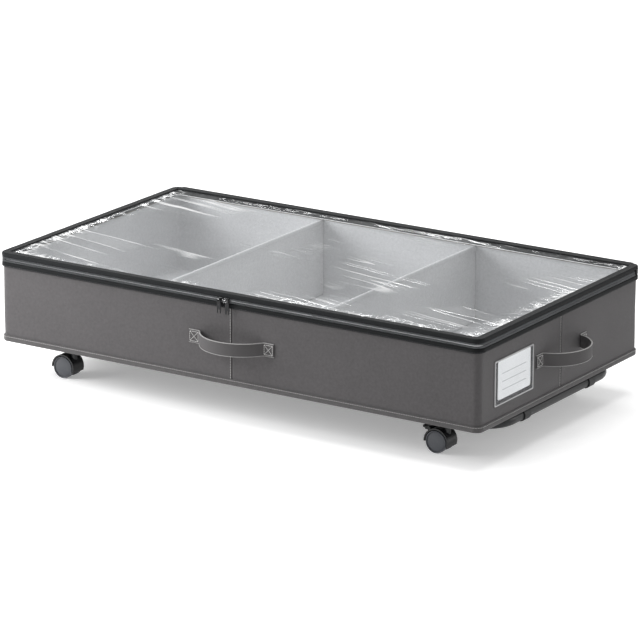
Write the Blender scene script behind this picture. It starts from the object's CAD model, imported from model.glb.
"""Builds the cloth, webbing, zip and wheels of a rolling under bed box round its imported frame.

Lengths are in metres, in the frame's own axes: +X along the box, +Y to the back, +Z up."""

import math

import bmesh
import bpy
import numpy as np
from bpy.props import FloatProperty, FloatVectorProperty, PointerProperty
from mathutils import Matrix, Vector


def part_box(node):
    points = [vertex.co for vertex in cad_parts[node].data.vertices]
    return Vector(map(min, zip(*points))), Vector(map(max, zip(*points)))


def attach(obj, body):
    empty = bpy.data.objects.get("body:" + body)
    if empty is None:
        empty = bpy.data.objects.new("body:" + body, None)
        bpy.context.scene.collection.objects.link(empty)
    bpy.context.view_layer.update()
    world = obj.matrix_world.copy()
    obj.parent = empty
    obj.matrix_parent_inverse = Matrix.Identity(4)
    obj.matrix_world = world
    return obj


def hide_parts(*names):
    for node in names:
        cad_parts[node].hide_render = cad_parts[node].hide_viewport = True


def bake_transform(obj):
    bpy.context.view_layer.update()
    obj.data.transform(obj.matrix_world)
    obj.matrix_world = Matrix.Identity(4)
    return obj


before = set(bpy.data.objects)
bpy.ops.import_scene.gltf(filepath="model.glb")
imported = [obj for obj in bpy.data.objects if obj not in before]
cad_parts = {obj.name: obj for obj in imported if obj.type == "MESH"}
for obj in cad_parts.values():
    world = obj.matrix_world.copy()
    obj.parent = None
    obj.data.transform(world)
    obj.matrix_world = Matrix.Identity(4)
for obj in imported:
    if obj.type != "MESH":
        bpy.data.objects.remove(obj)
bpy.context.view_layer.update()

bl_info = {
    "name": "Rolling under bed box",
    "version": (1, 0, 0),
    "blender": (4, 5, 0),
    "location": "View3D > Sidebar > Under bed box",
    "description": "Dresses the frame of a rolling under bed box in cloth, tape and webbing",
    "category": "Object",
}

MM = 0.001
CASTERS = ("front_left", "front_right", "back_left", "back_right")
WALL_R = 11 * MM  # corner radius of the walls, seen from above
RIM_R = 15 * MM  # corner radius of the rim and the lid
MAP = "cloth"  # every new piece's map of its own surface, in metres
SPECULAR = "Specular IOR Level"


def low(node):
    """A node's lowest corner."""
    return np.array(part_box(node)[0])


def high(node):
    """A node's highest corner."""
    return np.array(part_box(node)[1])


def corners(node):
    return low(node), high(node)


def middle_half(node):
    """The middle of a node and half its size."""
    lo, hi = corners(node)
    return (lo + hi) / 2, (hi - lo) / 2


# ---------- surfaces ----------


def outline(half_x, half_y, radius, step=6 * MM, arc_steps=10):
    """A walk round a rectangle with round corners, from the middle of the back and
    anticlockwise from above: its points, the outward direction at each, and the distance
    walked. Each side is even steps, closer at its middle, and each corner a quarter circle."""
    outward = np.array([[0, 1], [-1, 0], [0, -1], [1, 0]], float)
    onward = np.array([[-1, 0], [0, -1], [1, 0], [0, 1]], float)
    close, clear_of = MM * np.array([-4, -2.6, -1.6, -0.8, 0, 0.8, 1.6, 2.6, 4]), 5.5 * MM
    turn = np.linspace(0, math.pi / 2, arc_steps + 1)[1:-1, None]
    spots, ways = [], []
    halves = [half_y, half_x] * 2
    for n, t, half_n, half_t in zip(outward, onward, halves, halves[1:] + halves[:1]):
        long = half_t - radius
        even = np.linspace(-long, long, max(4, round(2 * long / step)))
        along = np.sort(np.concatenate([even[np.abs(even) > clear_of], close]))[:, None]
        spots += [n * half_n + t * along]
        ways += [np.repeat(n[None], len(along), 0)]
        way = np.cos(turn) * n + np.sin(turn) * t
        spots += [n * (half_n - radius) + t * (half_t - radius) + radius * way]
        ways += [way]
    spots, ways = np.concatenate(spots), np.concatenate(ways)
    first = int(np.argmin(np.abs(spots[:, 0]) + (spots[:, 1] < 0)))
    spots, ways = np.roll(spots, -first, 0), np.roll(ways, -first, 0)
    gaps = np.linalg.norm(np.roll(spots, -1, 0) - spots, axis=1)
    return spots, ways, np.concatenate([[0], np.cumsum(gaps)])


def cut_at(walk, y, front=True):
    """The part of a walk in front of y, or behind it, with its two ends put at y. The part
    behind is read from a walk turned half round, so that it too is one unbroken run."""
    spots, ways, run = walk if front else (-walk[0], -walk[1], walk[2])
    side = 1 if front else -1
    inside = np.flatnonzero(side * spots[:, 1] < side * y - 0.5 * MM)
    picked = np.concatenate([[inside[0] - 1], inside, [inside[-1] + 1]])
    spots, ways, run = spots[picked].copy(), ways[picked], run[picked].copy()
    spots[0], spots[-1] = (spots[1, 0], y), (spots[-2, 0], y)
    run[0] = run[1] - abs(y - spots[1, 1])
    run[-1] = run[-2] + abs(y - spots[-2, 1])
    return spots, ways, run


def swept(walk, out, up):
    """Points of a profile carried along a walk: out is the distance outward and up the
    height, for every step of the walk (rows) and point of the profile (columns)."""
    spots, ways, _ = walk
    out, up = np.atleast_2d(out), np.atleast_2d(up)
    n, m = len(spots), max(out.shape[1], up.shape[1])
    out, up = np.broadcast_to(out, (n, m)), np.broadcast_to(up, (n, m))
    flat = spots[:, None, :] + ways[:, None, :] * out[:, :, None]
    return np.concatenate([flat, up[:, :, None]], 2)


def lengths(points, loop):
    """Distance run along a line of points, with one more value where the line is closed."""
    ends = np.concatenate([points, points[:1]]) if loop else points
    return np.concatenate([[0], np.cumsum(np.linalg.norm(np.diff(ends, axis=0), axis=1))])


def between(at, run, line):
    """The points of a line at given distances, where run is the distance of its own."""
    return np.stack([np.interp(at, run, values) for values in line.T], 1)


def surface(points, loop_u=False, loop_v=False, run=None, caps=False):
    """A grid of points [u, v, xyz] joined into four-sided faces, with the map of its own
    lengths at their corners. A closed shape whose volume comes out negative is turned."""
    n, m = points.shape[:2]
    u = lengths(points[:, 0], loop_u) if run is None else np.asarray(run, float)
    v = lengths(points[n // 2], loop_v)
    i, j = np.meshgrid(np.arange(n - (not loop_u)), np.arange(m - (not loop_v)), indexing="ij")
    i, j = i.ravel(), j.ravel()
    i2, j2 = (i + 1) % n, (j + 1) % m
    faces = [np.stack([i * m + j, i2 * m + j, i2 * m + j2, i * m + j2], 1)]
    ends = [(i, j), (i + 1, j), (i + 1, j + 1), (i, j + 1)]
    maps = [np.stack([np.stack([u[a], v[b]], 1) for a, b in ends], 1)]
    flat = points.reshape(-1, 3)
    if caps:
        ring = np.arange(m)
        faces += [ring[None, ::-1], ring[None] + (n - 1) * m]
        maps += [np.stack([v[:m], 0 * v[:m]], 1)[None]] * 2
    if (loop_u or caps) and loop_v:
        a, b, c, d = (flat[faces[0][:, k]] for k in range(4))
        whole = (a * np.cross(b, c)).sum() + (a * np.cross(c, d)).sum()
        for face in faces[1:]:
            rim = flat[face[0]]
            whole += (rim[0] * np.cross(rim[1:-1], rim[2:])).sum()
        if whole < 0:
            faces, maps = [f[:, ::-1] for f in faces], [x[:, ::-1] for x in maps]
    return flat, faces, maps


def joined(*parts):
    """Several surfaces as one."""
    start, points, faces, maps = 0, [], [], []
    for p, f, x in parts:
        points.append(p)
        faces += [g + start for g in f]
        maps += x
        start += len(p)
    return np.concatenate(points), faces, maps


def turned(part, degrees):
    """A surface turned about the upright axis through the middle of the box."""
    points, faces, maps = part
    c, s = math.cos(math.radians(degrees)), math.sin(math.radians(degrees))
    return points @ np.array([[c, s, 0], [-s, c, 0], [0, 0, 1]]), faces, maps


def piece(name, part, body, finish, stands_for=(), sharp=40):
    """Makes a surface into an object that rides on a body, if one is named, and stands for
    CAD nodes."""
    points, faces, maps = part
    mesh = bpy.data.meshes.new(name)
    mesh.vertices.add(len(points))
    mesh.vertices.foreach_set("co", points.astype(np.float32).ravel())
    sizes = np.concatenate([np.full(len(f), f.shape[1]) for f in faces])
    mesh.loops.add(int(sizes.sum()))
    corner = np.concatenate([f.ravel() for f in faces])
    mesh.loops.foreach_set("vertex_index", corner.astype(np.int32))
    mesh.polygons.add(len(sizes))
    mesh.polygons.foreach_set("loop_start", (np.cumsum(sizes) - sizes).astype(np.int32))
    layer = mesh.uv_layers.new(name=MAP)
    layer.uv.foreach_set("vector", np.concatenate([x.ravel() for x in maps]).astype(np.float32))
    mesh.update(calc_edges=True)
    mesh.validate()
    mesh.shade_smooth()
    mesh.set_sharp_from_angle(angle=math.radians(sharp))
    made = bpy.data.objects.new(name, mesh)
    bpy.context.scene.collection.objects.link(made)
    mesh.materials.append(finish)
    if body:
        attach(made, body)
    if stands_for:
        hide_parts(*stands_for)
    return made


def plate(half_x, half_y, radius, nx, ny):
    """A grid of flat points that fills a rectangle with round corners: each row is as wide
    as the outline is there, and rows are closer near the two ends."""
    most = math.pi / 2 * 0.92
    y = np.sin(np.linspace(-1, 1, ny) * most) / math.sin(most) * half_y
    past = np.clip(np.abs(y) - (half_y - radius), 0, radius)
    wide = half_x - radius + np.sqrt(radius**2 - past**2)
    x = np.linspace(-1, 1, nx)[:, None] * wide[None]
    return np.stack([x, np.broadcast_to(y, x.shape)], 2)


def round_section(half_a, half_b, radius, steps=4):
    """A closed line round a small rectangle with round corners, as two arrays."""
    turn = np.linspace(0, math.pi / 2, steps + 1)
    a, b = [], []
    for k, (sa, sb) in enumerate([(1, 1), (-1, 1), (-1, -1), (1, -1)]):
        a.append(sa * (half_a - radius) + radius * np.cos(turn + k * math.pi / 2))
        b.append(sb * (half_b - radius) + radius * np.sin(turn + k * math.pi / 2))
    return np.concatenate(a), np.concatenate(b)


def spindles(starts, ends, ways, wide, deep, rise=0.0, dip=0.0):
    """Many small spindles from starts to ends: five rings of six points each, narrow at
    both ends, wide across and deep along ways. rise lifts their middles and dip sinks
    their ends along ways."""
    long = ends - starts
    side = np.cross(long, ways)
    side /= np.linalg.norm(side, axis=1)[:, None]
    along = np.array([0.0, 0.13, 0.5, 0.87, 1.0])
    girth = np.array([0.4, 0.88, 1.0, 0.88, 0.4]) / 2
    lift = np.array([-dip, rise * 0.6, rise, rise * 0.6, -dip])
    spin = np.arange(6) / 6 * 2 * math.pi + math.pi / 6
    middle = starts[:, None] + along[:, None] * long[:, None] + lift[:, None] * ways[:, None]
    points = (
        middle[:, :, None]
        + wide * (girth[:, None] * np.cos(spin))[None, :, :, None] * side[:, None, None]
        + deep * (girth[:, None] * np.sin(spin))[None, :, :, None] * ways[:, None, None]
    )
    _, faces, maps = surface(points[0], loop_v=True, caps=True)
    step = np.arange(len(starts))[:, None, None] * (len(along) * len(spin))
    faces = [(f[None] + step).reshape(-1, f.shape[1]) for f in faces]
    return points.reshape(-1, 3), faces, [np.tile(x, (len(starts), 1, 1)) for x in maps]


def stitches(line, outward, pitch=None, thick=0.9 * MM, fill=0.72):
    """A row of thread stitches along a line: a spindle at every pitch, whose ends go down
    into the cloth."""
    line, outward = np.asarray(line, float), np.asarray(outward, float)
    run = lengths(line, False)
    pitch = pitch or bpy.context.scene.box_sizes.stitch
    count = max(1, round(run[-1] / pitch))
    at = (np.arange(count) + 0.5) * run[-1] / count
    half = fill * pitch / 2
    ends = [between(at + h, run, line) for h in (-half, half)]
    ways = between(at, run, np.broadcast_to(outward, line.shape))
    return spindles(*ends, ways, thick, 0.7 * thick, 0.35 * thick, 0.25 * thick)


def ripple(a, b, seed, waves=7, size=0.05):
    """A smooth random height between -1 and 1: a sum of sine waves in fixed directions
    whose lengths are spread round the given size."""
    rng = np.random.default_rng(seed)
    total = 0
    for _ in range(waves):
        turn, long = rng.uniform(0, math.pi), size * rng.uniform(0.6, 1.9)
        along = a * math.cos(turn) + b * math.sin(turn)
        total = total + np.sin(along * 2 * math.pi / long + rng.uniform(0, 7))
    return total / waves**0.5 / 1.5


def thickened(made, thickness, offset=-1):
    """Gives an open surface its thickness, inward, or to both sides where offset is 0."""
    layer = made.modifiers.new("thickness", "SOLIDIFY")
    layer.thickness, layer.offset = thickness, offset


def seam(walk, out, up, close=True, **thread):
    """Stitches along a walk, at one distance outward and one height, facing outward."""
    points, ways = swept(walk, out, up)[:, 0], walk[1]
    if close:
        points, ways = (np.concatenate([k, k[:1]]) for k in (points, ways))
    return stitches(points, np.concatenate([ways, 0 * ways[:, :1]], 1), **thread)


def softened(node, name, width, body, finish):
    """A copy of a hard CAD node with its triangles merged and its edges rounded."""
    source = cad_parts[node]
    mesh = source.data.copy()
    mesh.name = name
    work = bmesh.new()
    work.from_mesh(mesh)
    bmesh.ops.remove_doubles(work, verts=work.verts, dist=1e-6)
    bmesh.ops.dissolve_limit(work, angle_limit=math.radians(1), verts=work.verts, edges=work.edges)
    work.to_mesh(mesh)
    work.free()
    for extra in ("custom_normal", "sharp_face"):
        if extra in mesh.attributes:
            mesh.attributes.remove(mesh.attributes[extra])
    mesh.materials.clear()
    mesh.materials.append(finish)
    mesh.shade_smooth()
    mesh.set_sharp_from_angle(angle=math.radians(35))
    made = bpy.data.objects.new(name, mesh)
    bpy.context.scene.collection.objects.link(made)
    bevel = made.modifiers.new("rounded edges", "BEVEL")
    bevel.width, bevel.segments, bevel.limit_method = width, 2, "ANGLE"
    bevel.angle_limit = math.radians(38)
    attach(made, body)
    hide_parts(node)
    return made


def painted(nodes, finish):
    """Gives carried-over CAD nodes a finish."""
    for name in nodes:
        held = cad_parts[name]
        if held.material_slots:
            for each in held.material_slots:
                each.material = finish
        else:
            held.data.materials.append(finish)


# ---------- finishes ----------


class Value:
    """One output of a material's node. Sums and products written on it add Math nodes."""

    def __init__(self, finish, socket):
        self.finish, self.socket = finish, socket

    def using(self, operation, *terms):
        return self.finish.node("ShaderNodeMath", {"operation": operation}, dict(enumerate(terms)))

    def __add__(self, other):
        return self.using("ADD", self, other)

    def __sub__(self, other):
        return self.using("SUBTRACT", self, other)

    def __rsub__(self, other):
        return self.using("SUBTRACT", other, self)

    def __mul__(self, other):
        return self.using("MULTIPLY", self, other)

    def __pow__(self, other):
        return self.using("POWER", self, other)

    __radd__, __rmul__ = __add__, __mul__

    def above(self, level):
        return self.using("GREATER_THAN", self, level)

    def size(self):
        return self.using("ABSOLUTE", self)

    def humps(self, pitch):
        """The size of a sine wave: one hump in every pitch."""
        return self.wave(pitch).size()

    def wave(self, pitch):
        """A sine wave that crosses zero at every pitch."""
        return self.using("SINE", self * (math.pi / pitch))

    def rise(self, start, end, first=0.0, last=1.0):
        """Goes smoothly from first to last between start and end."""
        ends = {"From Min": start, "From Max": end, "To Min": first, "To Max": last}
        return self.finish.node(
            "ShaderNodeMapRange", {"interpolation_type": "SMOOTHSTEP"}, {"Value": self, **ends}
        )

    def within(self, middle, half, soft):
        """1 within half of middle, falling to 0 over soft."""
        return (self - middle).size().rise(half, half + soft, 1.0, 0.0)


class Finish:
    """A material under construction."""

    def __init__(self, name):
        self.material = bpy.data.materials.new(name)
        self.material.use_nodes = True
        self.tree = self.material.node_tree
        self.tree.nodes.clear()

    def node(self, kind, settings=None, inputs=None, out=0):
        """Adds a node of a kind: its settings first, then its sockets' values or links."""
        made = self.tree.nodes.new(kind)
        for key, value in (settings or {}).items():
            setattr(made, key, value)
        for key, value in (inputs or {}).items():
            if isinstance(value, Value):
                self.tree.links.new(value.socket, made.inputs[key])
            else:
                made.inputs[key].default_value = value
        return Value(self, made.outputs[out]) if made.outputs else None

    def place(self):
        return self.node("ShaderNodeTexCoord", out="Object")

    def split(self, vector, count=3):
        """The first numbers of a vector."""
        return [self.node("ShaderNodeSeparateXYZ", inputs={0: vector}, out=k) for k in range(count)]

    def uv(self):
        """The two lengths of a piece's own map."""
        return self.split(self.node("ShaderNodeUVMap", {"uv_map": MAP}), 2)

    def xyz(self):
        return self.split(self.place())

    def vector(self, x, y, z):
        return self.node("ShaderNodeCombineXYZ", inputs={0: x, 1: y, 2: z})

    def cloud(self, scale, detail=3.0, rough=0.55):
        """Soft noise from 0 to 1, at a scale of lumps per metre."""
        inputs = {"Vector": self.place(), "Scale": scale, "Detail": detail, "Roughness": rough}
        return self.node("ShaderNodeTexNoise", inputs=inputs, out="Fac")

    def mix(self, share, a, b):
        """Colour a where share is 0 and b where it is 1."""
        ends = {k: c if isinstance(c, Value) else (*c, 1) for k, c in ((6, a), (7, b))}
        return self.node("ShaderNodeMix", {"data_type": "RGBA"}, {0: share, **ends}, 2)

    def shade(self, colour, share, darkest, lightest):
        """A colour made darker or lighter as share goes from 0 to 1."""
        return self.mix(share, scaled(colour, darkest), scaled(colour, lightest))

    def bump(self, height, distance, strength):
        inputs = {"Height": height, "Distance": distance, "Strength": strength}
        return self.node("ShaderNodeBump", inputs=inputs)

    def skin(self, colour, rough, normal, **more):
        """The surface shader with what changes over it, and more sockets by name."""
        inputs = {"Base Color": colour, "Roughness": rough, "Normal": normal}
        return self.node("ShaderNodeBsdfPrincipled", inputs=inputs | more)

    def mixed(self, share, a, b):
        """Shader a where share is 0 and b where it is 1."""
        return self.done(self.node("ShaderNodeMixShader", inputs={0: share, 1: a, 2: b}))

    def done(self, shader):
        """Sends a shader to the material's surface and gives the material."""
        self.node("ShaderNodeOutputMaterial", inputs={"Surface": shader})
        return self.material

    def cloth(self, colour, rough, normal, sheen=0.25):
        more = {"Sheen Weight": sheen, "Sheen Roughness": 0.45, SPECULAR: 0.12}
        return self.done(self.skin(colour, rough, normal, **more))

    def hard(self, colour, rough, normal, **more):
        return self.done(self.skin(colour, rough, normal, **more))


def scaled(colour, share):
    """A colour times a share, no lighter than white."""
    return tuple(min(1.0, c * share) for c in colour)


def woven(name, colour, pitch, depth=0.12 * MM, fold=False, worn=0.05):
    """Plain woven cloth: humps of thread a pitch wide, one way where the two sines have the
    same sign and the other way elsewhere, with slubs and soft uneven dye. Where the cloth
    folds, it has a darker line along x = 0 and y = 0."""
    f = Finish(name)
    a, b = (k.wave(pitch) for k in f.uv())
    over = (a * b).above(0)
    warp = b.size() * 0.35 + 0.65
    weft = a.size() * 0.35 + 0.65
    threads = over * a.size() * warp + (1 - over) * b.size() * weft
    fuzz, slub, dye = f.cloud(1500, 2), f.cloud(240, 4), f.cloud(9, 4)
    tone = threads * 0.26 + fuzz * 0.14 + slub * 0.42 + dye * 0.18
    shade = f.shade(colour, tone, 0.45, 1.6)
    if fold:
        x, y, _ = f.xyz()
        near = x.within(0.0, 0.4 * MM, 0.9 * MM) + y.within(0.0, 0.4 * MM, 0.9 * MM)
        shade = f.mix(near * 0.75, shade, scaled(colour, 0.22))
    scuff = f.cloud(38, 5).above(0.69) * worn
    shade = f.mix(scuff, shade, scaled(colour, 1.9))
    normal = f.bump(threads * 0.8 + fuzz * 0.3 + slub * 0.4, depth, 0.8)
    return f.cloth(shade, 0.82 + slub * 0.12, normal)


def taped(name, colour, rib=1.3 * MM, depth=0.14 * MM, light=1.7):
    """Ribbed binding tape: fine ribs across its length, with a few lighter fibres."""
    f = Finish(name)
    u, v = f.uv()
    ribs, weft = u.humps(rib), v.humps(0.7 * MM)
    fuzz, soft = f.cloud(1300, 2), f.cloud(30, 4)
    tone = ribs * 0.4 + weft * 0.12 + fuzz * 0.28 + soft * 0.2
    shade = f.shade(colour, tone, 0.45, light)
    normal = f.bump(ribs * 0.8 + weft * 0.25 + fuzz * 0.35, depth, 0.8)
    return f.cloth(shade, 0.6 + fuzz * 0.2, normal, 0.04)


def threaded(name, colour):
    """Sewing thread: twisted strands along each stitch."""
    f = Finish(name)
    u, v = f.uv()
    twist, soft = (u + v * 0.6).humps(0.5 * MM), f.cloud(90, 3)
    shade = f.shade(colour, twist * 0.5 + soft * 0.5, 0.7, 1.25)
    return f.cloth(shade, 0.6 + soft * 0.1, f.bump(twist, 0.08 * MM, 0.6), 0.3)


def moulded(name, colour, rough=0.42, grain=1400, depth=0.03 * MM, dust=0.1, coat=0.0):
    """Moulded plastic: a fine spark-eroded grain, a soft gloss that varies, and dust."""
    f = Finish(name)
    grains, soft, rubbed = f.cloud(grain, 2), f.cloud(45, 4), f.cloud(160, 5)
    shade = f.shade(colour, grains * 0.35 + soft * 0.65, 0.78, 1.28)
    shade = f.mix(rubbed.above(0.62) * dust, shade, (0.12, 0.118, 0.116))
    shine = {"Coat Weight": coat, SPECULAR: 0.35}
    return f.hard(shade, rough + rubbed * 0.22 - soft * 0.08, f.bump(grains, depth, 0.5), **shine)


def scuffed(name, colour, scales, level, share, pale, depth, rough, gloss):
    """A smooth hard skin with three noises of the given scales: grain, soft patches, and
    paler scuffs where the third is above a level. rough holds how much duller the patches
    and the scuffs are."""
    f = Finish(name)
    grain, soft, marks = (f.cloud(k, detail) for k, detail in zip(scales, (3, 4, 6)))
    scuff = marks.above(level)
    shade = f.shade(colour, grain * 0.3 + soft * 0.7, 0.75, 1.3)
    shade = f.mix(scuff * share, shade, pale)
    dull = 0.3 + soft * rough[0] + scuff * rough[1]
    return f.hard(shade, dull, f.bump(grain, depth, 0.5), **{SPECULAR: gloss})


def worn_enamel(name, colour, level):
    """Black enamel on cast metal, worn through to bright metal where the noise is above a
    level."""
    f = Finish(name)
    spots, soft = f.cloud(420, 5, 0.65), f.cloud(90, 2)
    bare = spots.above(level)
    shade = f.mix(bare, f.shade(colour, soft, 0.7, 1.4), (0.55, 0.55, 0.56))
    shine = {"Metallic": bare * 0.9, SPECULAR: 0.25}
    return f.hard(shade, 0.32 + soft * 0.15, f.bump(spots, 0.08 * MM, 0.6), **shine)


def bright_metal(name, colour):
    """Plated metal with fine brushing and a few dull spots."""
    f = Finish(name)
    lines, spots = f.cloud(900, 4), f.cloud(320, 5)
    shade = f.shade(colour, lines * 0.5 + spots * 0.5, 0.7, 1.15)
    return f.hard(shade, 0.28 + spots * 0.25, f.bump(lines, 0.02 * MM, 0.4), Metallic=1.0)


def fibre_board(colour):
    """Pressed board: coarse fibres that lie every way, with darker chips."""
    f = Finish("fibre_board")
    fibres, chips = f.cloud(700, 6, 0.7), f.cloud(120, 4)
    shade = f.shade(colour, fibres * 0.6 + chips * 0.4, 0.6, 1.3)
    return f.hard(shade, 0.85 + chips * 0.1, f.bump(fibres, 0.12 * MM, 0.6))


def ruled_card(colour):
    """White card with three thin grey ruled lines and a faint paper grain."""
    f = Finish("ruled_card")
    _, y, z = f.xyz()
    grain, soft = f.cloud(900, 4), f.cloud(40, 3)
    middle = (low("label_card") + high("label_card")) / 2
    inside = y.within(float(middle[1]), 36 * MM, 0.4 * MM)
    heights = (middle[2] + (k * 13 - 4) * MM for k in (-1, 0, 1))
    lines = sum(z.within(at, 0.3 * MM, 0.4 * MM) for at in heights) * inside
    shade = f.shade(colour, grain * 0.4 + soft * 0.6, 0.95, 1.04)
    shade = f.mix(lines * 0.7, shade, (0.22, 0.23, 0.25))
    return f.hard(shade, 0.55 + grain * 0.1, f.bump(grain, 0.03 * MM, 0.3))


def crinkled(f, half_x, half_y):
    """White marks of a clear film and the height of its bumps. The sewn edges are crinkled:
    facets and their ridges from stretched cells, which fade inward. A few long thin creases
    lie over the middle."""
    x, y, _ = f.xyz()

    def cells(across, along, feature, out):
        at = f.vector(x * across, y * along, f.cloud(16, 2) * 1.6)
        return f.node("ShaderNodeTexVoronoi", {"feature": feature}, {"Vector": at, "Scale": 1.0}, out)

    def ridges(across, along):
        return 1 - cells(across, along, "DISTANCE_TO_EDGE", "Distance").rise(0.02, 0.1)

    def near(value, half, start, end):
        return value.size().rise(half - start * MM, half - end * MM)

    patchy = f.cloud(11, 3).rise(0.38, 0.6)
    patchy = patchy * ((1 - near(x, half_x, 13, 11)) * (1 - near(y, half_y, 13, 11)))
    edge_x = near(x, half_x, 52, 15) * patchy
    edge_y = near(y, half_y, 46, 15) * patchy * ((0 - y).rise(-0.1, 0.1) * 0.9 + 0.1)
    folds = edge_x * ridges(42, 95), edge_y * ridges(85, 40)
    facet = f.split(cells(70, 80, "F1", "Color"), 1)[0].rise(0.66, 0.95)
    crinkle = folds[0] + folds[1] + (edge_x**2.0 + edge_y**2.0) * facet * 0.8
    at = f.vector(x * 1.3 + y * 2.6, y * 24 + x * 5.0, 0.3)
    long = f.node("ShaderNodeTexNoise", inputs={"Vector": at, "Scale": 1.0, "Detail": 1.0}, out="Fac")
    here = f.cloud(5, 2, 0.4).rise(0.47, 0.62)
    crease = long.within(0.5, 0.003, 0.012) + long.within(0.62, 0.002, 0.008)
    soft = long.within(0.56, 0.02, 0.07)
    marks = crinkle * 0.7 + here * (crease * 0.6 + soft * 0.08)
    return marks, folds[0] * 0.4 + folds[1] * 0.4 + crease * here * 0.15


def clear_sheet(name, colour, half_x=0.0, half_y=0.0):
    """Clear soft film: see-through with a gloss that grows at a glancing angle, crinkled
    where its two half lengths are given."""
    f = Finish(name)
    haze = f.cloud(22, 4)
    glance = f.node("ShaderNodeLayerWeight", inputs={"Blend": 0.35}, out="Facing")
    marks, height = f.cloud(300, 3).above(0.74) * 0.1, haze
    if half_x:
        more, rough = crinkled(f, half_x, half_y)
        marks, height = marks + more, haze + rough
    marks = f.node("ShaderNodeClamp", inputs={"Value": marks, "Max": 0.9})
    share = marks + glance**3.0 * 0.35 + haze * 0.05
    share = f.node("ShaderNodeClamp", inputs={"Value": share, "Max": 0.92})
    milky = f.mix(marks, scaled(colour, 0.4), (1, 1, 1))
    skin = f.skin(milky, haze * 0.08 + 0.03, f.bump(height, 1.2 * MM, 0.4), **{SPECULAR: 0.6})
    clear = f.node("ShaderNodeBsdfTransparent", inputs={"Color": (0.975, 0.98, 0.985, 1)})
    return f.mixed(share, clear, skin)


# ---------- settings ----------


def tint(name, about, colour):
    return FloatVectorProperty(name=name, description=about, subtype="COLOR", default=colour, min=0, max=1)


def span(name, about, length, most):
    return FloatProperty(name=name, description=about, unit="LENGTH", default=length, min=0, max=most)


class BoxLooks(bpy.types.PropertyGroup):
    """Colours of the cloth, tape, thread, plastic and metal."""

    cover: tint("Walls", "Woven cloth of the walls", (0.071, 0.0675, 0.069))
    hem: tint("Hem", "Binding round the bottom edge", (0.072, 0.069, 0.070))
    base: tint("Base", "Cloth under the floor", (0.035, 0.035, 0.036))
    lining: tint("Lining", "Cloth inside the box", (0.6, 0.6, 0.605))
    divider: tint("Dividers", "Cloth over the dividers", (0.66, 0.66, 0.665))
    tape: tint("Tape", "Ribbed tape of the rim and the lid", (0.0065, 0.0073, 0.008))
    zip_tape: tint("Zip tape", "Tape that carries the teeth", (0.035, 0.037, 0.039))
    teeth: tint("Zip teeth", "The zip's coils", (0.115, 0.120, 0.125))
    strap: tint("Straps", "Webbing of the handles", (0.073, 0.070, 0.071))
    thread: tint("Thread", "Light thread and strap edging", (0.36, 0.355, 0.35))
    dark_thread: tint("Dark thread", "Thread on the black tape", (0.045, 0.047, 0.05))
    clear: tint("Clear plastic", "Window and label pocket", (0.93, 0.95, 0.96))
    card: tint("Card", "Label card", (0.86, 0.86, 0.86))
    board: tint("Boards", "Boards inside the walls and the floor", (0.30, 0.235, 0.165))
    tube: tint("Tube", "Powder coat of the frame", (0.009, 0.0095, 0.0105))
    plastic: tint("Black plastic", "Couplers, clips, hoods and levers", (0.007, 0.0075, 0.0083))
    wheel: tint("Wheels", "Wheel discs", (0.060, 0.064, 0.073))
    metal: tint("Metal", "Plated screws, rivets, stems and axles", (0.55, 0.55, 0.56))


class BoxSizes(bpy.types.PropertyGroup):
    """Sizes of the cloth's own detail."""

    thread_pitch: span("Thread pitch", "Distance between two threads of the cloth", 0.0011, 0.004)
    stitch: span("Stitch", "Length of one stitch with its gap", 0.0042, 0.01)
    softness: span("Wall softness", "How far the walls swell and dip", 0.0005, 0.002)
    window_ripple: span("Window ripple", "Height of the waves in the window", 0.0016, 0.004)


class Building:
    """What the operators share: their colours and sizes."""

    bl_options = {"REGISTER", "UNDO"}

    def execute(self, context):
        self.build(context.scene.box_looks, context.scene.box_sizes)
        return {"FINISHED"}


# ---------- walls and floor ----------


def bell(away, wide):
    """A bell curve: 1 at no distance away, and low past wide."""
    return np.exp(-((away / wide) ** 2))


def calm(spots, z):
    """1 over most of a wall and 0 where a strap or the label pocket is sewn flat on it."""
    x, y, z = np.broadcast_arrays(spots[:, :1], spots[:, 1:], np.atleast_2d(z))
    rest = np.ones_like(z)
    for node in ("front_handle", "back_handle", "left_handle", "right_handle", "label_pocket"):
        lo, hi = corners(node)
        far = np.max([lo[0] - x, x - hi[0], lo[1] - y, y - hi[1], lo[2] - z, z - hi[2]], 0)
        rest = np.minimum(rest, np.clip((far - 4 * MM) / (12 * MM), 0, 1))
    return rest


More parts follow.
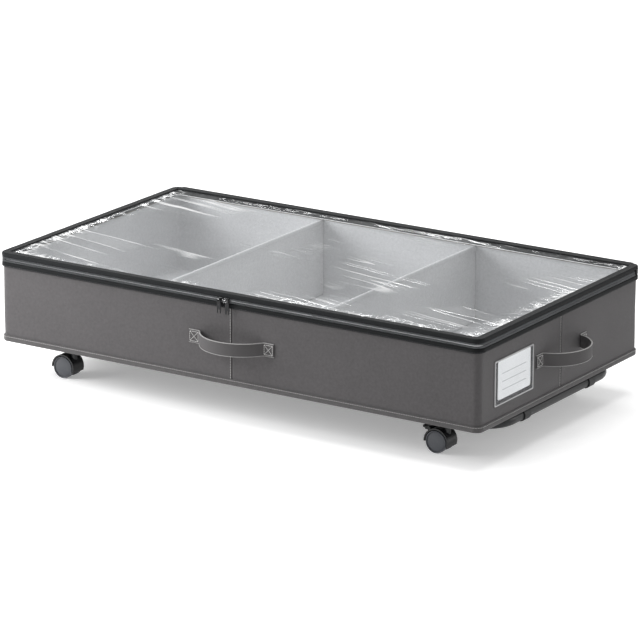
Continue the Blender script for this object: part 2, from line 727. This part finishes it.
class UNDERBED_OT_walls(Building, bpy.types.Operator):
    """Makes the cloth walls, which fold down their middles, their seams and their boards"""

    bl_idname = "under_bed_box.walls"
    bl_label = "Walls"

    def build(self, looks, sizes):
        lo, hi = corners("outer_cover")
        spots, ways, run = walk = outline(hi[0], hi[1], WALL_R, step=5 * MM)
        tall, dense = hi[2] - lo[2], lo[2] + 24 * MM
        z = np.concatenate([np.linspace(lo[2], dense, 9)[:-1], np.linspace(dense, hi[2], 20)])
        s = run[:-1, None]
        swell = ripple(s, z[None], 3, size=0.17) * sizes.softness * np.sin(math.pi * (z - lo[2]) / tall)
        pucker = ripple(s, 0 * z[None], 8, size=0.016) * 0.16 * MM * np.exp(-(z - lo[2]) / (13 * MM))
        flank = np.abs(ways[:, :1])
        away = np.abs(spots)
        away = np.where(flank < 0.1, away[:, :1], np.where(flank > 0.9, away[:, 1:], 1.0))
        crease = 0.35 * bell(away, 7 * MM) - 0.8 * bell(away, 1.3 * MM)
        shift = (swell + pucker) * calm(spots, z) + crease * MM
        out = np.concatenate([shift, shift[:, ::-1] - 0.9 * MM], 1)
        part = surface(swept(walk, out, np.concatenate([z, z[::-1]])), True, True, run)
        finish = woven("wall_cloth", looks.cover, sizes.thread_pitch, fold=True)
        walls = piece("walls", part, "box", finish, ["outer_cover"])

        rows = []
        for degrees, half in ((0, hi[1]), (90, hi[0]), (180, hi[1]), (270, hi[0])):
            ends = [(-2.2 * MM, -half - 0.3 * MM, z) for z in (high("hem_binding")[2], low("rim_tape")[2])]
            rows.append(turned(stitches(ends, (0, -1, 0), thick=1.15 * MM, fill=0.8), degrees))
        thread = threaded("light_thread", looks.thread)
        piece("wall_stitching", joined(*rows), "box", thread)
        painted([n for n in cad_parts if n.endswith("_boards")], fibre_board(looks.board))


class UNDERBED_OT_base(Building, bpy.types.Operator):
    """Makes the binding round the bottom edge and the cloth under the floor"""

    bl_idname = "under_bed_box.base"
    bl_label = "Hem and base"

    def build(self, looks, sizes):
        lo, hi = low("hem_binding"), high("outer_cover")
        walk = outline(hi[0], hi[1], WALL_R, step=3 * MM, arc_steps=12)
        s = walk[2][:-1, None]
        out = MM * np.array([0.05, 0.7, 1.5, 2.1, 2.4, 2.45, 2.3, 2.15, 2.25, 1.9, 1.3, 0.6, 0.05])
        up = MM * np.array([0.1, 0.0, 0.15, 0.9, 2.6, 5.0, 7.2, 8.1, 8.9, 9.7, 10.1, 10.2, 10.0])
        gather = ripple(s, 0 * s, 5, size=0.011) * 0.16 * MM + ripple(s, 0 * s, 6, size=0.09) * 0.2 * MM
        points = swept(walk, out[None] + gather * (out[None] > 1 * MM), lo[2] + up[None] + gather * 0.4)
        finish = woven("hem_cloth", looks.hem, sizes.thread_pitch * 0.9, worn=0.12)
        piece("hem", surface(points, True, True, walk[2]), "box", finish, ["hem_binding"])
        part = seam(walk, 2.2 * MM, lo[2] + 8.1 * MM, thick=1.0 * MM, fill=0.82)
        thread = threaded("hem_thread", scaled(looks.thread, 0.8))
        piece("hem_stitching", part, "box", thread)

        lo, hi = corners("base_cover")
        flat = plate(hi[0], hi[1], WALL_R, 150, 90)
        dip = ripple(flat[:, :, 0], flat[:, :, 1], 12, size=0.12) * 0.12 * MM
        edge = np.clip((hi[1] - np.abs(flat[:, :, 1])) / (20 * MM), 0, 1)
        part = surface(np.dstack([flat, hi[2] + dip * edge - 0.15 * MM]))
        finish = woven("base_weave", looks.base, sizes.thread_pitch * 1.2, fold=True)
        sheet = piece("base_cloth", part, "box", finish, ["base_cover"])
        thickened(sheet, hi[2] - lo[2] - 0.3 * MM)


class UNDERBED_OT_lining(Building, bpy.types.Operator):
    """Makes the lining and the two dividers"""

    bl_idname = "under_bed_box.lining"
    bl_label = "Lining and dividers"

    def build(self, looks, sizes):
        lo, hi = corners("inner_lining")
        tall, radius = hi[2] - lo[2], WALL_R - 4 * MM
        pitch = sizes.thread_pitch * 0.8
        walk = outline(hi[0], hi[1], radius, step=9 * MM)
        z = np.concatenate([lo[2] + MM * np.array([0.4, 0.9, 2.2]), np.linspace(lo[2] + 5 * MM, hi[2], 16)])
        inward = MM * np.concatenate([[6, 3, 1.6], np.full(16, 1.0)])
        soft = (ripple(walk[2][:-1, None], z[None], 21, size=0.11) - 1) * 0.35 * MM
        face = soft * np.sin(math.pi * (z - lo[2]) / tall) ** 0.5 - inward
        sides = surface(swept(walk, face[:, ::-1], z[::-1]), True, False, walk[2])
        flat = plate(hi[0] - 1.2 * MM, hi[1] - 1.2 * MM, radius, 120, 70)
        x, y = flat[:, :, 0], flat[:, :, 1]
        top = lo[2] + 0.75 * MM + ripple(x, y, 22, size=0.13) * 0.2 * MM - 0.3 * MM * bell(x, 2 * MM)
        finish = woven("lining_cloth", looks.lining, pitch, 0.08 * MM, worn=0.0)
        part = joined(sides, surface(np.dstack([flat, top])))
        lining = piece("lining", part, "box", finish, ["inner_lining"])
        thickened(lining, 0.9 * MM)
        wide, deep = 2 * hi[0] + 2 * tall, 2 * hi[1] + 2 * tall
        wide * deep - 4 * tall**2
        cover = woven("divider_cloth", looks.divider, pitch, 0.08 * MM, worn=0.0)
        for side in ("left", "right"):
            node, name = f"divider_{side}", f"{side}_divider"
            middle, half = middle_half(node)
            a, b = evenly(*round_section(half[0], half[2], 1.9 * MM), 150)
            ends = np.array([-1, -0.9985, -0.995])
            y = np.concatenate([ends, np.linspace(-0.985, 0.985, 90), -ends[::-1]])[:, None] * half[1]
            narrow = np.clip((half[1] - np.abs(y)) / (1.5 * MM), 0, 1) ** 0.5 * 0.6 + 0.4
            x = a[None] * narrow + ripple(y, b[None], 31, size=0.09) * 0.25 * MM
            points = np.stack(np.broadcast_arrays(middle[0] + x, y, middle[2] + b[None]), 2)
            part = surface(points, loop_v=True, caps=True)
            piece(name, part, "box", cover, [node], 60)
            rows = []
            for s in (-1, 1):
                x, z = middle[0] + s * (half[0] + 0.1 * MM), middle[2] + half[2] - 7 * MM
                line = [(x, y, z) for y in np.linspace(-0.97, 0.97, 60) * half[1]]
                rows.append(stitches(line, (s, 0, 0), thick=0.7 * MM))
            thread = threaded(f"{name}_thread", scaled(looks.divider, 0.75))
            piece(f"{name}_stitching", joined(*rows), "box", thread)


def evenly(a, b, count):
    """A closed line of points spread evenly along itself."""
    ring = np.stack([a, b], 1)
    run = lengths(ring, True)
    at = np.linspace(0, run[-1], count, endpoint=False)
    return between(at, run, np.concatenate([ring, ring[:1]])).T


# ---------- rim, zip and lid ----------


def bound_section(inner, outer, bottom, top, swell=0.25 * MM):
    """A closed line round a folded tape: flat inside, a little swollen outside, round at
    its top and bottom edges."""
    turn = np.linspace(0, math.pi, 6)
    middle, half = (inner + outer) / 2, (outer - inner) / 2
    rise = np.linspace(bottom + half, top - half, 7)
    bow = swell * np.sin(math.pi * np.linspace(0, 1, 7))
    cap_out, cap_up = half * np.cos(turn), half * np.sin(turn) - half
    out = [middle - cap_out, outer + bow[-2:0:-1], middle + cap_out, np.full(3, inner)]
    up = [top + cap_up, rise[-2:0:-1], bottom - cap_up, rise[2:5]]
    return np.concatenate(out), np.concatenate(up)


class UNDERBED_OT_rim(Building, bpy.types.Operator):
    """Makes the tape round the top of the walls and the tape the lid folds on"""

    bl_idname = "under_bed_box.rim"
    bl_label = "Rim tape"

    def build(self, looks, sizes):
        lo, hi = corners("rim_tape")
        rim = outline(hi[0], hi[1], RIM_R, step=5 * MM, arc_steps=12)
        s = rim[2][:-1, None]
        finish = taped("rim_tape_weave", scaled(looks.tape, 0.7))
        out, up = bound_section(-2 * MM, 0, lo[2], hi[2] - 1.5 * MM)
        wave = ripple(s, 0 * s, 41, size=0.05) * 0.15 * MM
        part = surface(swept(rim, out[None] + wave, up[None] + wave), True, True, rim[2])
        piece("rim_tape_bound", part, "box", finish, ["rim_tape"])
        lo, hi = corners("back_hinge_tape")
        back = cut_at(rim, lo[1], front=False)
        out, up = bound_section(-2 * MM, 0, lo[2], hi[2], 0.1 * MM)
        part = surface(swept(back, out, up), False, True, back[2], caps=True)
        piece("hinge_tape", part, "box", finish, ["back_hinge_tape"])
        # the fold's own line behind the lid, as (y, z) in millimetres past 200
        fold = np.array([[50.05, 8.6], [50.35, 10.0], [50.4, 11.2], [50.0, 12.1], [48.6, 12.45]])
        fold = between(np.linspace(0, 4, 13), np.arange(5), fold * MM + 0.2)
        way = np.gradient(fold, axis=0)
        side = 0.3 * MM * np.stack([way[:, 1], -way[:, 0]], 1) / np.linalg.norm(way, axis=1)[:, None]
        ring = np.concatenate([fold + side, (fold - side)[::-1]])
        x = np.linspace(-1, 1, 60)[:, None] * (hi[0] - RIM_R)
        points = np.stack(np.broadcast_arrays(x, ring[None, :, 0], ring[None, :, 1]), 2)
        made = piece("hinge_fold", surface(points, loop_v=True, caps=True), None, finish)
        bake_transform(made)
        lines = ((rim, low("rim_tape")[2] + 1.6 * MM), (back, hi[2] - 3 * MM))
        rows = [seam(line, 0.15 * MM, up, False, thick=0.7 * MM) for line, up in lines]
        thread = threaded("dark_thread", looks.dark_thread)
        piece("rim_stitching", joined(*rows), "box", thread)


class UNDERBED_OT_zip(Building, bpy.types.Operator):
    """Makes the zip's two tapes and its two rows of teeth"""

    bl_idname = "under_bed_box.zip"
    bl_label = "Zip"

    def build(self, looks, sizes):
        hi = high("rim_tape")
        rim = outline(hi[0], hi[1], RIM_R, step=4 * MM, arc_steps=14)
        spots, ways, run = line = cut_at(rim, high("lower_zip_tape")[1])
        pitch = 1.9 * MM
        tape = taped("zip_tape_weave", looks.zip_tape, 0.9 * MM, 0.1 * MM)
        teeth = moulded("zip_coil", looks.teeth, 0.38, 2200, 0.02 * MM, 0.0)
        middle = (high("lower_zip_teeth")[2] + low("upper_zip_teeth")[2]) / 2
        for name, body, edge in (("lower", "box", -1), ("upper", "lid", 1)):
            node = f"{name}_zip_tape"
            lo, hi = corners(node)
            out, up = bound_section(-2.9 * MM, -2.1 * MM, lo[2], hi[2], 0)
            part = surface(swept(line, out, up), False, True, run, caps=True)
            piece(f"{name}_tape_woven", part, body, tape, [node])
            node = f"{name}_zip_teeth"
            lo, hi = corners(node)
            near = middle + edge * 0.36 * MM
            far = hi[2] + 1 * MM if edge > 0 else lo[2] - 1 * MM
            at = np.arange(run[0] + 1 * MM, run[-1] - 1 * MM, pitch) + (pitch / 2 if edge > 0 else 0)
            at = at[at < run[-1] - 0.8 * MM]
            level = np.zeros((len(at), 1))
            facing = np.hstack([between(at, run, ways), level])
            facing /= np.linalg.norm(facing, axis=1)[:, None]
            foot = np.hstack([between(at, run, spots), level]) - 0.9 * MM * facing
            lean = 0.45 * MM * np.hstack([-facing[:, 1:2], facing[:, :1], level])
            ends = foot + [0, 0, near], foot + lean + [0, 0, far]
            part = spindles(*ends, facing, 1.25 * MM, 1.7 * MM)
            piece(f"{name}_coil", part, body, teeth, [node], 60)


class UNDERBED_OT_lid(Building, bpy.types.Operator):
    """Makes the lid: its tape, its clear window and their seam"""

    bl_idname = "under_bed_box.lid"
    bl_label = "Lid"

    def build(self, looks, sizes):
        hi = high("lid_tape")
        spots, _, run = rim = outline(hi[0], hi[1], RIM_R, step=5 * MM, arc_steps=14)
        end = high("upper_zip_tape")[1]
        front = np.clip((end - spots[:, 1]) / (2 * MM), 0, 1)[:, None]
        out = [-14, -14.2, -13.9, -13, -10, -7, -4.2, -2, -0.9, -0.2, 0.05, 0.2, 0.15, 0, -0.4, -1.6]
        out = MM * np.array(out + [-2, -2, -2.1, -2.6, -6, -10, -13.4])
        up = [0.4, 1, 1.6, 1.95, 2, 2.05, 2.05, 1.95, 1.6, 0.9, 0, -1.6, -3, -4, -4.4, -4.4, -4, -2.4, -0.6]
        up = MM * np.array(up + [0] * 4)
        base = low("lid_window")[2] + 0.5 * MM
        s = run[:-1, None]
        wave = ripple(s, 0 * s, 51, size=0.06) * 0.22 * MM
        hung, laid = up * (front * 0.98 + 0.02), up + wave * (up > 1 * MM)
        z = base + np.where(up < -0.05 * MM, hung, laid)
        x = out + wave * 1.6 * (out < -9 * MM) + wave * 0.5 * (out > -0.3 * MM)
        tape = taped("lid_tape_weave", looks.tape)
        part = surface(swept(rim, x, z), True, True, run)
        piece("lid_tape_bound", part, "lid", tape, ["lid_tape"])
        rows = []
        for inset in (11.6, 3.0):
            ring = swept(rim, -inset * MM, base + 2.05 * MM)[:, 0]
            rows.append(stitches(np.concatenate([ring, ring[:1]]), (0, 0, 1), thick=0.75 * MM))
        thread = threaded("lid_thread", looks.dark_thread)
        piece("lid_stitching", joined(*rows), "lid", thread)

        hi = high("lid_window")
        flat = plate(hi[0] - 0.3 * MM, hi[1] - 0.3 * MM, RIM_R - 2 * MM, 300, 180)
        x, y = flat[:, :, 0], flat[:, :, 1]
        from_x, from_y = hi[0] - np.abs(x), hi[1] - np.abs(y)
        inset = np.minimum(from_x, from_y)
        free = np.clip((inset - 13 * MM) / (12 * MM), 0, 1)
        free = free * free * (3 - 2 * free)
        near = np.exp(-np.clip(inset - 14 * MM, 0, 1) / (22 * MM)) * free
        slack = ripple(x + 0.35 * y, y, 61, size=0.16) * 0.55
        slack = slack + ripple(x - 0.8 * y, 0.3 * y, 62, size=0.07) * 0.3
        drawn = ripple(np.where(from_y < from_x, x, y), inset * 0.25, 63, size=0.022) * 0.55
        ridge = 1 - np.abs(ripple(x * 0.8 + y * 0.6, y * 0.25 - x * 0.1, 64, size=0.12)) * 2
        lift = sizes.window_ripple * (free * (slack + 0.35 * np.clip(ridge, 0, 1)) + near * drawn)
        part = surface(np.dstack([flat, hi[2] - 0.25 * MM + lift - 1.2 * MM * free]))
        film = clear_sheet("window_film", looks.clear, hi[0], hi[1])
        window = piece("window", part, "lid", film, ["lid_window"], 180)
        thickened(window, 0.3 * MM)


class UNDERBED_OT_sliders(Building, bpy.types.Operator):
    """Finishes the two zip sliders and their pull tabs"""

    bl_idname = "under_bed_box.sliders"
    bl_label = "Sliders"

    def build(self, looks, sizes):
        metal = worn_enamel("slider_enamel", looks.plastic, 0.56)
        enamel = worn_enamel("pull_enamel", looks.plastic, 0.68)
        for side in ("left", "right"):
            softened(f"slider_{side}", f"{side}_slider", 0.45 * MM, f"slider_{side}", metal)
            softened(f"pull_{side}", f"{side}_pull", 0.25 * MM, f"pull_{side}", enamel)


# ---------- handles and label ----------


def bow(half, reach, patch, thick):
    """The middle line of a strap in plan, with the wall on y = 0: flat on the wall at both
    ends and an arc of a circle between, its two corners rounded by a running average."""
    arc_r = (half**2 + reach**2) / (2 * reach)
    limit = math.asin(min(1, half / arc_r))
    if reach > half:
        limit = math.pi - limit
    turn = np.linspace(-limit, limit, 900)
    curve = np.stack([arc_r * np.sin(turn), arc_r - reach - arc_r * np.cos(turn)], 1)
    curve[:, 1] += thick / 2 * np.clip(-curve[:, 1] / reach, 0, 1)
    ends = np.linspace(half + patch, half, 140)[:, None] * [1, 0]
    line = np.concatenate([ends * [-1, 1], curve, ends[::-1]]) - [0, thick / 2]
    run = lengths(line, False)
    even = np.arange(0, run[-1], 0.4 * MM)
    line = between(even, run, line)
    blur = 18
    share = np.exp(-0.5 * (np.arange(-blur, blur + 1) / 6.0) ** 2)
    wide = np.pad(line, ((blur, blur), (0, 0)), "edge")
    soft = np.stack([np.convolve(wide[:, k], share / share.sum(), "valid") for k in (0, 1)], 1)
    for end, away in ((0, even), (-1, even[-1] - even)):
        soft[:, 0] += np.clip(1 - away / (8 * MM), 0, 1) * (line[end, 0] - soft[end, 0])
    soft[:, 1] = np.minimum(soft[:, 1], -thick / 2)
    return soft[::4]


def carried(line, a, b, z):
    """A closed section (a along the line's outward side, b up) carried along a plan line."""
    way = np.gradient(line, axis=0)
    way /= np.linalg.norm(way, axis=1)[:, None]
    side = np.stack([way[:, 1], -way[:, 0]], 1)
    flat = line[:, None] + side[:, None] * a[None, :, None]
    return np.dstack([flat, np.broadcast_to(z + b[None], flat.shape[:2])])


class UNDERBED_OT_handles(Building, bpy.types.Operator):
    """Makes the four webbing handles with their edging and box-and-cross stitching"""

    bl_idname = "under_bed_box.handles"
    bl_label = "Handles"

    def build(self, looks, sizes):
        webbing = taped("strap_webbing", looks.strap, 1.6 * MM, 0.18 * MM, 1.5)
        edging = threaded("strap_edging", scaled(looks.thread, 0.8))
        crosses = threaded("cross_thread", scaled(looks.thread, 1.25))
        patch, thick = 20 * MM, 2.4 * MM
        spin = np.arange(8) / 8 * 2 * math.pi
        for name, degrees in (("front", 0), ("right", 90), ("back", 180), ("left", 270)):
            node = f"{name}_handle"
            lo, hi = corners(node)
            along, across = (0, 1) if name in ("front", "back") else (1, 0)
            wall = high("outer_cover")[across]
            reach = max(abs(lo[across]), abs(hi[across])) - wall
            half, tall = (hi[along] - lo[along]) / 2 - patch, (hi[2] - lo[2]) / 2
            z = (lo[2] + hi[2]) / 2
            line = bow(half, reach, patch, thick) - [0, wall]

            def tube(a, b, z):
                return surface(carried(line, a, b, z), loop_v=True, caps=True)

            strap = tube(*evenly(*round_section(thick / 2 - 0.25 * MM, tall - 0.8 * MM, 0.6 * MM), 64), z)
            piece(f"{name}_strap", turned(strap, degrees), "box", webbing, [node], 50)
            a, b = 1.25 * MM * np.cos(spin), 0.6 * MM * np.sin(spin)
            pipes = joined(*(tube(a, b, z + s * (tall - 0.7 * MM)) for s in (-1, 1)))
            piece(f"{name}_strap_edging", turned(pipes, degrees), "box", edging)
            rows = []
            face, up = -wall - thick - 0.05 * MM, tall - 3.2 * MM
            for side in (-1, 1):
                x0, x1 = side * (half + 2.4 * MM), side * (half + patch - 2.2 * MM)
                spots = [(x0, z - up), (x1, z - up), (x1, z + up), (x0, z + up)]
                for pair in ((0, 1), (1, 2), (2, 3), (3, 0), (0, 2), (1, 3)):
                    ends = [(spots[k][0], face, spots[k][1]) for k in pair]
                    rows.append(stitches(ends, (0, -1, 0), 3.1 * MM, 1.0 * MM, 0.86))
            piece(f"{name}_strap_cross", turned(joined(*rows), degrees), "box", crosses)


def upright(x, y, z, middle):
    """Points at x whose y and z are measured from a middle."""
    return np.stack([x, middle[1] + y, middle[2] + z], 2)


class UNDERBED_OT_label(Building, bpy.types.Operator):
    """Makes the clear label pocket and the ruled card in it"""

    bl_idname = "under_bed_box.label"
    bl_label = "Label"

    def build(self, looks, sizes):
        middle, half = middle_half("label_pocket")
        back = low("label_pocket")[0]
        walk = outline(half[1] - 0.4 * MM, half[2] - 0.4 * MM, 2.4 * MM, 4 * MM, 6)
        a, b = round_section(1.25 * MM, 0.85 * MM, 0.5 * MM, 3)
        flat = swept(walk, a - 1.25 * MM, back + b + 0.9 * MM)
        edge = moulded("pocket_edge", (0.30, 0.30, 0.305), 0.25, 900, 0.02 * MM, 0.0, 0.5)
        points = upright(flat[:, :, 2], flat[:, :, 0], flat[:, :, 1], middle)
        piece("pocket_edge", surface(points, True, True, walk[2]), "box", edge)
        y, z = np.moveaxis(plate(half[1] - 1.2 * MM, half[2] - 1.2 * MM, 2 * MM, 60, 40), 2, 0)
        swell = (1 - (y / half[1]) ** 4) * (1 - (z / half[2]) ** 4)
        lift = 0.35 * MM * swell + ripple(y, z, 71, size=0.05) * 0.14 * MM * swell
        part = surface(upright(back + 1.45 * MM + lift, y, z, middle))
        clear = clear_sheet("pocket_clear", looks.clear)
        film = piece("pocket_film", part, "box", clear, ["label_pocket"], 180)
        thickened(film, 0.2 * MM, 0)
        middle, half = middle_half("label_card")
        y, z = np.moveaxis(plate(half[1], half[2], 4 * MM, 40, 30), 2, 0)
        x = middle[0] + 0.18 * MM + 0.12 * MM * np.cos(y / half[1] * 2.2)
        part = surface(upright(x, y, z, middle))
        card = piece("card", part, "box", ruled_card(looks.card), ["label_card"])
        thickened(card, 0.4 * MM, 0)


# ---------- base frame and casters ----------


class UNDERBED_OT_frame(Building, bpy.types.Operator):
    """Finishes the tube frame, its couplers, clips, sockets and screws"""

    bl_idname = "under_bed_box.frame"
    bl_label = "Frame"

    def build(self, looks, sizes):
        rub = ((520, 14, 210), 0.68, 0.2, (0.1, 0.1, 0.105), 0.05 * MM, (0.14, 0.1), 0.3)
        tubes = [f"frame_{name}" for name in ("left_end", "right_end", "front_tube", "back_tube")]
        painted(tubes, scuffed("tube_powder_coat", looks.tube, *rub))
        plastic = moulded("fitting_plastic", looks.plastic, 0.45)
        for node in ("frame_couplers", "frame_clips", "caster_sockets"):
            softened(node, f"{node}_moulded", 0.35 * MM, "box", plastic)
        painted(["clip_rivets", "socket_screws", "caster_stems"], bright_metal("zinc_plate", looks.metal))


def wheel_profile(r, w):
    """A wheel's closed profile in millimetres, as (radius, across) with the outer face at w:
    a hub, a deep inner hollow, a tread with two round edges, a groove and a crowned disc."""
    turn = np.linspace(0, math.pi / 2, 5)[1:]
    profile = [(2.2, -w), (4.6, -w), (5, 0.4 - w), (5, w - 2.8)]
    profile += [(r - 3.2, w - 2.8), (r - 2.6, -w), (r - 1.1, -w)]
    profile += [(r - 1.1 + 1.1 * math.sin(t), 1.1 - w - 1.1 * math.cos(t)) for t in turn]
    profile += [(r - 0.02, 0), (r, w - 1.9)]
    profile += [(r - 1.0 + 1.0 * math.cos(t), w - 1.15 + 1.0 * math.sin(t)) for t in turn]
    profile += [(r - 1.4, w - 0.05), (r - 1.8, w - 0.3), (r - 2.1, w - 1.5), (r - 2.5, w - 1.9)]
    crown = np.linspace(r - 2.7, 0.6, 9)
    profile += [(x, w - 1.7 + 1.7 * (1 - (x / (r - 2.4)) ** 2) ** 0.8) for x in crown]
    return profile + [(0.05, w), (0.05, w - 2.6), (2.2, w - 2.6)]


def revolved(profile, centre, steps=64):
    """A closed profile of (radius, across) turned round an axle along Y."""
    r, y = np.array(profile, float).T * MM
    turn = np.linspace(0, 2 * math.pi, steps, endpoint=False)[:, None]
    x, z = r[None] * np.cos(turn), r[None] * np.sin(turn)
    points = np.broadcast_arrays(centre[0] + x, centre[1] + y[None], centre[2] + z)
    return surface(np.stack(points, 2), True, True)


class UNDERBED_OT_casters(Building, bpy.types.Operator):
    """Makes the twin wheels, hoods, axles and brake levers of the four casters"""

    bl_idname = "under_bed_box.casters"
    bl_label = "Casters"

    def build(self, looks, sizes):
        hood = moulded("hood_plastic", looks.plastic, 0.32, 1600, 0.02 * MM, 0.06, 0.2)
        lever = moulded("lever_plastic", scaled(looks.plastic, 0.8), 0.36)
        rub = ((900, 60, 260), 0.64, 0.18, (0.2, 0.2, 0.2), 0.03 * MM, (0.2, 0.12), 0.5)
        disc = scuffed("wheel_plastic", looks.wheel, *rub)
        axle = bright_metal("axle_steel", looks.metal)
        for name in CASTERS:
            softened(f"{name}_hood", f"{name}_hood_shell", 0.5 * MM, f"{name}_caster", hood)
            painted([f"{name}_axle"], axle)
            for side, sign in (("front", -1), ("back", 1)):
                node = f"{name}_{side}_wheel"
                centre, half = middle_half(node)
                r, w = half[2] / MM, half[1] / MM
                profile = [(a, sign * b) for a, b in wheel_profile(r, w)]
                piece(f"{name}_{side}_tread", revolved(profile, centre), node, disc, [node], 32)
            if name.endswith("right"):
                softened(f"{name}_brake", f"{name}_lever", 0.4 * MM, f"{name}_brake", lever)


# ---------- stage ----------


class UNDERBED_OT_stage(Building, bpy.types.Operator):
    """Sets the pale floor, which is clear from below, the soft lights and the camera"""

    bl_idname = "under_bed_box.stage"
    bl_label = "Stage"

    def build(self, looks, sizes):
        scene = bpy.context.scene
        mesh = bpy.data.meshes.new("studio_floor")
        far = 30
        rim = [(-far, -far, 0), (far, -far, 0), (far, far, 0), (-far, far, 0)]
        mesh.from_pydata(rim, [], [(0, 1, 2, 3)])
        floor = bpy.data.objects.new("studio_floor", mesh)
        scene.collection.objects.link(floor)
        f = Finish("studio_paper")
        tone = f.shade((0.88, 0.88, 0.88), f.cloud(2, 2), 0.99, 1.01)
        glow = {"Emission Color": (1, 1, 1, 1), "Emission Strength": 0.3, SPECULAR: 0.1}
        paper = f.skin(tone, 0.95, f.bump(f.cloud(300, 2), 0.01 * MM, 0.1), **glow)
        under = f.node("ShaderNodeNewGeometry", out="Backfacing")
        clear = f.node("ShaderNodeBsdfTransparent")
        mesh.materials.append(f.mixed(under, paper, clear))

        world = bpy.data.worlds.new("studio")
        scene.world = world
        world.use_nodes = True
        sky = world.node_tree.nodes["Background"].inputs
        sky["Color"].default_value, sky["Strength"].default_value = (1, 1, 1, 1), 0.52
        # each light's name, place, the point it faces, width in metres and power in watts
        for name, spot, aim, size, power in (
            ("key", (-1.25, -0.95, 0.75), (-0.45, -0.15, 0.12), 0.8, 28),
            ("fill", (2.2, 1.7, 0.9), (0.4, 0.2, 0.1), 0.9, 12),
            ("back", (-1.9, 3.0, 2.3), (0.1, 0, 0.2), 1.1, 46),
            ("top", (0, 0, 3.6), (0, 0, 0), 2.6, 75),
        ):
            lamp = bpy.data.lights.new(name, "AREA")
            lamp.shape, lamp.size, lamp.energy = "SQUARE", size, power
            made = bpy.data.objects.new(name, lamp)
            scene.collection.objects.link(made)
            x, y, z = np.array(aim, float) - np.array(spot)
            made.location = spot
            made.rotation_euler = (math.atan2(math.hypot(x, y), -z), 0, math.atan2(y, x) - math.pi / 2)
        lens = bpy.data.cameras.new("camera")
        lens.sensor_width, lens.lens = 36, 234.85
        lens.clip_end = 100
        camera = bpy.data.objects.new("camera", lens)
        scene.collection.objects.link(camera)
        camera.location = (3.485, -5.390, 2.0157)
        camera.rotation_euler = [math.radians(turn) for turn in (73.453, -0.074, 32.881)]
        scene.camera = camera
        scene.view_settings.view_transform = "Standard"


STEPS = (
    UNDERBED_OT_stage, UNDERBED_OT_walls, UNDERBED_OT_base, UNDERBED_OT_lining, UNDERBED_OT_rim,
    UNDERBED_OT_zip, UNDERBED_OT_lid, UNDERBED_OT_sliders, UNDERBED_OT_handles, UNDERBED_OT_label,
    UNDERBED_OT_frame, UNDERBED_OT_casters,
)


class UNDERBED_PT_panel(bpy.types.Panel):
    """Lists the box's pieces, colours and sizes"""

    bl_label = "Under bed box"
    bl_idname = "UNDERBED_PT_panel"
    bl_space_type = "VIEW_3D"
    bl_region_type = "UI"
    bl_category = "Under bed box"

    def draw(self, context):
        for step in STEPS:
            self.layout.operator(step.bl_idname)
        for group in (context.scene.box_sizes, context.scene.box_looks):
            for name in group.__annotations__:
                self.layout.prop(group, name)


CLASSES = (BoxLooks, BoxSizes, *STEPS, UNDERBED_PT_panel)


def register():
    for each in CLASSES:
        bpy.utils.register_class(each)
    bpy.types.Scene.box_looks = PointerProperty(type=BoxLooks)
    bpy.types.Scene.box_sizes = PointerProperty(type=BoxSizes)


def unregister():
    del bpy.types.Scene.box_looks, bpy.types.Scene.box_sizes
    for each in reversed(CLASSES):
        bpy.utils.unregister_class(each)


def main():
    register()
    for step in STEPS:
        group, name = step.bl_idname.split(".")
        getattr(getattr(bpy.ops, group), name)()


if __name__ == "__main__":
    main()
